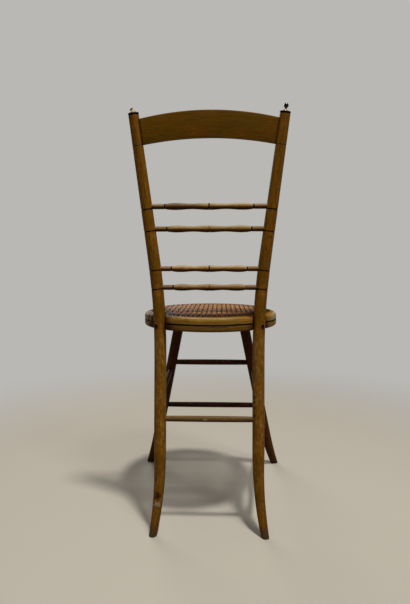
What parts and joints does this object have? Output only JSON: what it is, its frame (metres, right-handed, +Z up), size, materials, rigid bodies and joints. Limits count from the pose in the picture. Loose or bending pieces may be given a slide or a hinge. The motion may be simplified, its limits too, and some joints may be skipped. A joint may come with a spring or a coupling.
{
  "type": "child's high chair",
  "caption": "Tall child's chair in turned faux bamboo: bent back posts with an arched crest and turned spindles, a round caned seat and splayed legs tied by rungs.",
  "frame": {"origin": "centre of the chair's bounding box in plan, on the floor", "axes": "+Z up, -Y the way the chair faces, +X to the left of the child who sits in it"},
  "size_m": [0.4126, 0.4296, 0.9663],
  "materials": {
    "grained_wood": "grained and varnished, worn satin",
    "crest_wood": "dark varnish, satin",
    "seat_wood": "varnished, rubbed at the rim",
    "worn_pale_wood": "varnish rubbed thin, satin",
    "ebonised_wood": "blackened and varnished",
    "cane": "split cane, aged",
    "screw_steel": "plain",
    "black_plug": "blackened end grain"
  },
  "bodies": {
    "root": {"back_post_left": "grained_wood", "back_post_right": "grained_wood", "crest_rail": "crest_wood", "back_spindle_top": "worn_pale_wood", "back_spindle_upper": "worn_pale_wood", "back_spindle_lower": "worn_pale_wood", "back_spindle_bottom": "worn_pale_wood", "finial_left": "ebonised_wood", "finial_right": "ebonised_wood", "seat_ring": "seat_wood", "cane_panel": "cane", "front_leg_left": "grained_wood", "front_leg_right": "grained_wood", "front_rail_upper": "ebonised_wood", "front_rail_lower": "ebonised_wood", "rear_stretcher": "worn_pale_wood", "side_stretcher_upper_left": "grained_wood", "side_stretcher_upper_right": "grained_wood", "side_stretcher_lower_left": "grained_wood", "side_stretcher_lower_right": "grained_wood", "post_screw_left": "screw_steel", "post_screw_right": "screw_steel", "post_plug_left": "black_plug", "post_plug_right": "black_plug"}
  },
  "joints": []
}
